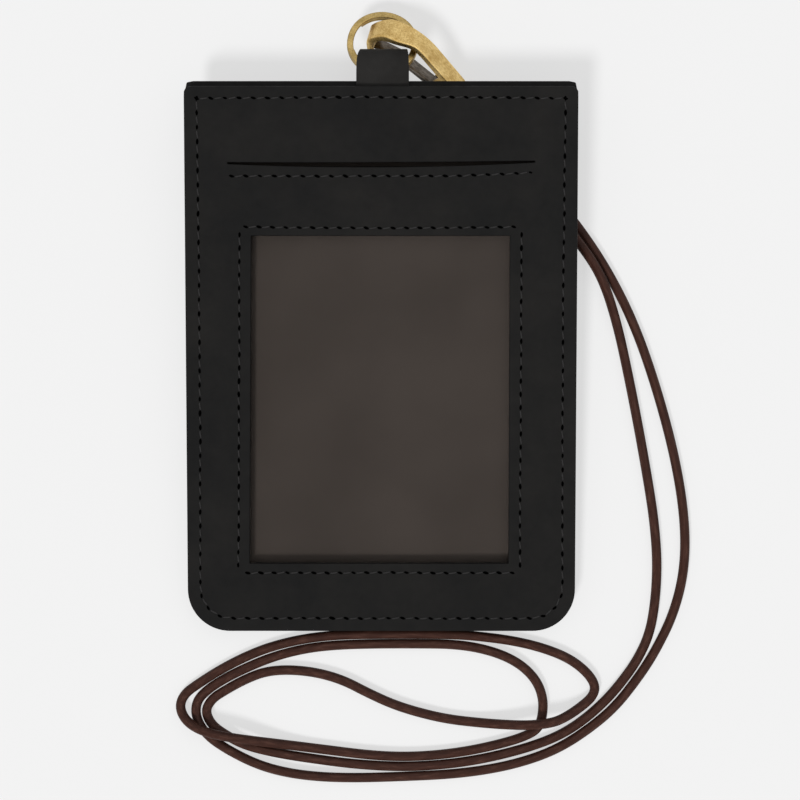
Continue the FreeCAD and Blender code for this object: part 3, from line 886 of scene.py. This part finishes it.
class BADGE_OT_stitching(bpy.types.Operator):
    """Hand stitches and their awl holes on both panels"""
    bl_idname = "badge.stitching"
    bl_label = "Stitching"

    def one_stitch(self):
        """A short thread that rises out of one hole and dips into the next."""
        stitch = settings().stitch
        run = stitch.pitch - 0.8 * stitch.hole
        start_clean()
        bpy.ops.mesh.primitive_cylinder_add(vertices=6, radius=stitch.thread / 2, depth=run,
                                            rotation=(0, math.pi / 2, 0))
        piece = bpy.context.object
        piece.name = "one_stitch"
        bpy.ops.object.transform_apply(location=True, rotation=True, scale=True)
        corners = piece.data.vertices

        def lengthwise(edge):
            return abs(corners[edge.vertices[0]].co.x - corners[edge.vertices[1]].co.x) > run / 2

        pick(piece, "EDGE", lengthwise)
        bpy.ops.mesh.subdivide(number_cuts=5)
        bpy.ops.object.mode_set(mode="OBJECT")
        for vertex in piece.data.vertices:
            share = abs(vertex.co.x) / (run / 2)
            slim = 1 - 0.35 * share ** 3
            vertex.co.y *= slim
            vertex.co.z = vertex.co.z * 0.8 * slim - stitch.thread * (0.9 * share ** 3)
        return piece

    def one_hole(self):
        """A small near-black disc, long in the seam's direction, as painted shade for the inside of an awl
        hole.
        """
        stitch = settings().stitch
        start_clean()
        bpy.ops.mesh.primitive_circle_add(vertices=10, radius=stitch.hole / 2, fill_type="TRIFAN")
        piece = bpy.context.object
        piece.name = "one_hole"
        for vertex in piece.data.vertices:
            rim = vertex.co.length / (stitch.hole / 2)
            vertex.co.y *= 0.48
            vertex.co.z = 0.03 * MM * (1 - rim)
        return piece

    def copies(self, name, model, turns):
        """Copies of one model at each place, joined as one piece."""
        start_clean()
        made = []
        for turn in turns:
            copy = model.copy()
            copy.data = model.data.copy()
            copy.data.transform(turn)
            bpy.context.scene.collection.objects.link(copy)
            copy.select_set(True)
            made.append(copy)
        bpy.context.view_layer.objects.active = made[0]
        bpy.ops.object.join()
        piece = bpy.context.object
        piece.name = name
        return piece

    def places(self, spaced_seams, face, side):
        """Turns for the stitches and for the holes along seams of known pitch, on the front or the back."""
        tree = seam_tree([seam for seam, pitch in spaced_seams])
        slant = math.radians(9)
        hole_lift = 0.07 * MM
        thread_lift = 0.05 * MM
        flip = Matrix.Scale(side, 4, (0, 0, 1))
        stitches = []
        holes = []
        for seam, pitch in spaced_seams:
            steps = walk(seam, pitch)
            for index, (place, direction) in enumerate(steps):
                normal = Vector((-direction.y, direction.x))
                spot = place + normal * unsteady(place)
                bearing = math.atan2(direction.y, direction.x)
                wobble = math.radians(6) * wander(place.x, place.y, 2.3)
                level = face - side * sag(tree, place.x, place.y)
                size = 0.95 + 0.3 * wander(place.x, place.y, 1.7, 5)
                # The awl's slots stand upright on the sides and lean on the level seams
                leaning = 2 * wobble - 2 * slant * abs(direction.x)
                holes.append(Matrix.Translation((spot.x, spot.y, level + side * hole_lift))
                             @ Matrix.Rotation(bearing + leaning, 4, "Z") @ Matrix.Scale(size, 4) @ flip)
                if index + 1 < len(steps):
                    ahead = steps[index + 1][0]
                    ahead = ahead + normal * unsteady(ahead)
                    middle = (spot + ahead) / 2
                    way = ahead - spot
                    twist = math.atan2(way.y, way.x) + slant + wobble
                    stitches.append(Matrix.Translation((middle.x, middle.y, level + side * thread_lift))
                                    @ Matrix.Rotation(twist, 4, "Z") @ flip)
        return stitches, holes

    def execute(self, context):
        colours = settings().colours
        thread = waxed_thread(colours.thread)
        # The hole discs carry painted shade for the inside of each awl hole.
        shadow = painted_hole_shade(colours.hole)
        stitch = self.one_stitch()
        hole = self.one_hole()
        sizes = settings().stitch
        edge = [(seam, sizes.pitch) for seam in edge_seam()]
        slit = [(seam, sizes.pitch) for seam in slit_seam()]
        window = [(seam, sizes.window_pitch) for seam in window_seam()]
        for side, seams, face in ((1, edge + slit + window, front_face()), (-1, edge, 0)):
            label = "front" if side > 0 else "back"
            threads, dents = self.places(seams, face, side)
            for name, model, turns, material in (("stitches", stitch, threads, thread),
                                                 ("awl_holes", hole, dents, shadow)):
                piece = self.copies("%s_%s" % (label, name), model, turns)
                lean(piece)
                if side < 0:
                    edit_all(piece)
                    bpy.ops.mesh.flip_normals()
                    bpy.ops.object.mode_set(mode="OBJECT")
                dress(piece, material, "wallet", "inner_leather")
        bpy.data.objects.remove(stitch)
        bpy.data.objects.remove(hole)
        return {"FINISHED"}


class BADGE_OT_metalwork(bpy.types.Operator):
    """The hook's broad forged nose, and brass and steel finishes of the ring, clasp, swivel and cap"""
    bl_idname = "badge.metalwork"
    bl_label = "Metalwork"

    # How far the forged nose reaches past the plain bent band, in the table's plane
    longer = Vector((-1.9, -0.6, 0)) * MM
    band_width = 4.4 * MM

    def forged(self, name, node, to_clasp, broader):
        """A copy of a clasp node whose end is drawn out to the forged nose."""
        start_clean()
        piece = bpy.data.objects.new(name, node.data.copy())
        bpy.context.scene.collection.objects.link(piece)
        edit_all(piece)
        bpy.ops.mesh.remove_doubles(threshold=contact)
        bpy.ops.mesh.subdivide(number_cuts=2)
        bpy.ops.object.mode_set(mode="OBJECT")
        for vertex in piece.data.vertices:
            along, across, height = to_clasp @ vertex.co
            near = min(max(0.5 + across / self.band_width, 0), 1)
            widened = eased(along, 8.5 * MM, 14.5 * MM) * near
            # The bend is drawn out as it turns down, and its tip half as far
            drawn = eased(along, 11 * MM, 13 * MM) * eased(height, -1.0 * MM, -4.5 * MM)
            drawn *= (1 - 0.5 * eased(height, -4.5 * MM, -6.9 * MM)) * (1 - 0.6 * near)
            vertex.co.y -= widened * broader
            vertex.co += drawn * self.longer
        return piece

    def execute(self, context):
        colours = settings().colours
        nodes = frame["nodes"]
        joints = {joint["name"]: joint for joint in frame["joints"]}
        swivel = joints["swivel"]
        along = Vector(swivel["axis"]).normalized()
        across = -Vector(joints["gate_hinge"]["axis"]).normalized()
        clasp_turn = Matrix((along, across, along.cross(across))).transposed()
        turn = clasp_turn.to_euler()
        brass = brushed_metal("brushed_brass", colours.brass, colours.brass_dark, 0.42, turn, 2.5)
        dull = brushed_metal("dull_brass_wire", colours.ring, colours.ring_dark, 0.3, Euler((0, 0, 0)), 1.0)
        steel = brushed_metal("dull_spring_steel", colours.steel, colours.steel_dark, 0.42, turn, 4.0)
        finishes = {"gate_pin": brass, "swivel_eye": brass, "end_cap": brass, "split_ring": dull}
        for name, material in finishes.items():
            nodes[name].data.materials.clear()
            nodes[name].data.materials.append(material)
        to_clasp = (Matrix.Translation(swivel["pos_m"]) @ clasp_turn.to_4x4()).inverted()
        band = self.forged("clasp_band", nodes["clasp_hook"], to_clasp, 1.4 * MM)
        dress(band, brass, "clasp", "clasp_brass", "clasp_hook")
        leaf = self.forged("gate_leaf", nodes["gate"], to_clasp, 0.6 * MM)
        dress(leaf, steel, "gate", "gate_steel", "gate")
        return {"FINISHED"}


class BADGE_OT_neck_cord(bpy.types.Operator):
    """Waxed cord from the cap, round its loops on the table and back"""
    bl_idname = "badge.neck_cord"
    bl_label = "Neck cord"

    # The cord's route in millimetres, from the cap out along the outer lead
    lead_out = [
        (24.88, 38.23, 2.33), (28.93, 33.81, 2.33), (35.3, 26.9, 1), (41.6, 19.2, 1), (47.6, 10.0, 1),
        (53, -1, 1), (57.7, -14.8, 1), (61.4, -29, 1), (63.3, -41.5, 1), (63.2, -51.5, 1),
        (61, -60.6, 1), (57.2, -68.4, 1),
    ]
    loops = [
        (53.6, -74, 1), (48.4, -80.6, 1), (42, -85.7, 1), (36, -89.3, 1), (29, -91.8, 1),
        (21.5, -93.4, 1), (13.5, -94.3, 1), (4.5, -94.7, 1), (-5, -95, 1), (-13, -94.8, 1),
        (-20, -93.9, 1), (-26, -92.2, 1), (-32, -89.2, 1), (-36.4, -86.2, 1), (-38.7, -82.6, 1),
        (-38.7, -79.2, 1), (-36.6, -76.8, 1), (-33, -74.4, 1), (-28.4, -72.1, 1), (-22.9, -69.8, 1),
        (-16.5, -68.1, 1), (-10, -67.3, 1), (-1.4, -67.02, 1), (8, -67.02, 1), (14.5, -67.1, 1),
        (20, -67.8, 1), (25.2, -69.3, 1), (29.4, -71.6, 1), (32.4, -74.8, 1), (33.7, -78.4, 1),
        (33.6, -82, 1), (32.6, -84.9, 1), (29.2, -86.6, 1), (24.4, -88, 1), (18, -89.4, 1),
        (11, -90.3, 1), (4, -90.6, 1), (-3, -90.2, 1), (-11.7, -89.1, 1), (-18.6, -88.2, 1.2),
        (-25, -87.2, 2.4), (-30.4, -86.3, 3.7), (-36.4, -85.1, 3.9), (-40.4, -83.2, 2.6),
        (-42.2, -80.3, 1.2), (-41.2, -77.5, 1), (-38, -75.2, 1), (-33.6, -72.4, 1), (-28.6, -69.8, 1),
        (-23.4, -67.7, 1), (-17, -66.1, 1), (-10, -65.2, 1), (-1.4, -65, 1), (8, -65, 1),
        (16, -65.1, 1), (22.5, -65.7, 1), (28.5, -66.6, 1), (34, -68, 1), (39, -70, 1),
        (42.7, -72.8, 1), (44.6, -75.6, 1.1), (44.1, -77.9, 1.3), (41.4, -80.1, 2), (38.2, -82, 3.1),
        (35.4, -83.1, 3.7), (30.8, -83.6, 3.7), (25.5, -83.7, 2.2), (19.5, -83.4, 1.1), (13.5, -82.7, 1),
        (7.5, -81.3, 1), (2.2, -79.6, 1), (-3, -77.2, 1), (-8, -74.6, 1), (-13.5, -73, 1),
        (-19.3, -72.4, 1), (-24.3, -72.8, 1), (-28.6, -74.5, 1), (-32.4, -76.6, 1), (-35.4, -78.5, 1),
        (-36.8, -81, 1), (-35.5, -83.9, 1), (-32.6, -86, 1), (-28.5, -88.2, 1), (-22, -89.8, 1),
        (-15, -90.9, 1), (-6, -92.1, 1), (3.8, -92.7, 1), (12, -92.3, 1), (19, -91.4, 1),
        (25.6, -90, 1), (31.6, -88.3, 1), (37, -86.2, 1), (41.8, -83.2, 1), (46.5, -79.1, 1),
    ]
    lead_back = [
        (49.9, -75.2, 1), (53.3, -70.5, 1), (55.9, -65, 1), (57.1, -58, 1), (57.5, -50, 1),
        (56.9, -42, 1), (55.8, -34.5, 1), (53.7, -22.5, 1), (51.4, -10.7, 1), (49.1, -0.2, 1.1),
        (46.0, 9.0, 2.6), (41.8, 15.6, 2.8), (34.7, 23.8, 2.5), (27.09, 32.12, 2.33),
        (23.04, 36.55, 2.33),
    ]

    def execute(self, context):
        start_clean()
        diameter = 2.0 * MM
        line = bpy.data.curves.new("neck_cord", "CURVE")
        line.dimensions = "3D"
        spline = line.splines.new("NURBS")
        points = self.lead_out + self.loops + self.lead_back
        spline.points.add(len(points) - 1)
        for point, place in zip(spline.points, points):
            point.co = (place[0] * MM, place[1] * MM, place[2] * MM, 1)
        spline.order_u = 3
        spline.use_endpoint_u = True
        spline.resolution_u = 8
        line.bevel_depth = diameter / 2
        line.bevel_resolution = 6
        line.use_fill_caps = True
        cord = bpy.data.objects.new("neck_cord", line)
        context.scene.collection.objects.link(cord)
        colours = settings().colours
        line.materials.append(waxed_cord(colours.cord, colours.cord_light))
        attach(cord, "lanyard")
        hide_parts("cord_lead_outer", "cord_loops", "cord_lead_inner")
        return {"FINISHED"}


class BADGE_PT_panel(bpy.types.Panel):
    """Steps that dress the badge wallet"""
    bl_idname = "BADGE_PT_panel"
    bl_label = "Badge Wallet"
    bl_space_type = "VIEW_3D"
    bl_region_type = "UI"
    bl_category = "Badge Wallet"

    def draw(self, context):
        for step in steps:
            self.layout.operator(step.bl_idname)


steps = (
    BADGE_OT_stage,
    BADGE_OT_neck_cord,
    BADGE_OT_front_leather,
    BADGE_OT_back_leather,
    BADGE_OT_inner_layers,
    BADGE_OT_hanging_tab,
    BADGE_OT_stitching,
    BADGE_OT_metalwork,
)
groups = (WalletSizes, StitchSizes, TabSizes, Colours, BadgeWallet)
classes = groups + steps + (BADGE_PT_panel,)


def register():
    for item in classes:
        bpy.utils.register_class(item)
    bpy.types.Scene.badge_wallet = PointerProperty(type=BadgeWallet)


def unregister():
    del bpy.types.Scene.badge_wallet
    for item in reversed(classes):
        bpy.utils.unregister_class(item)


def main():
    register()
    for step in steps:
        area, name = step.bl_idname.split(".")
        getattr(getattr(bpy.ops, area), name)()
    start_clean()


if __name__ == "__main__":
    main()
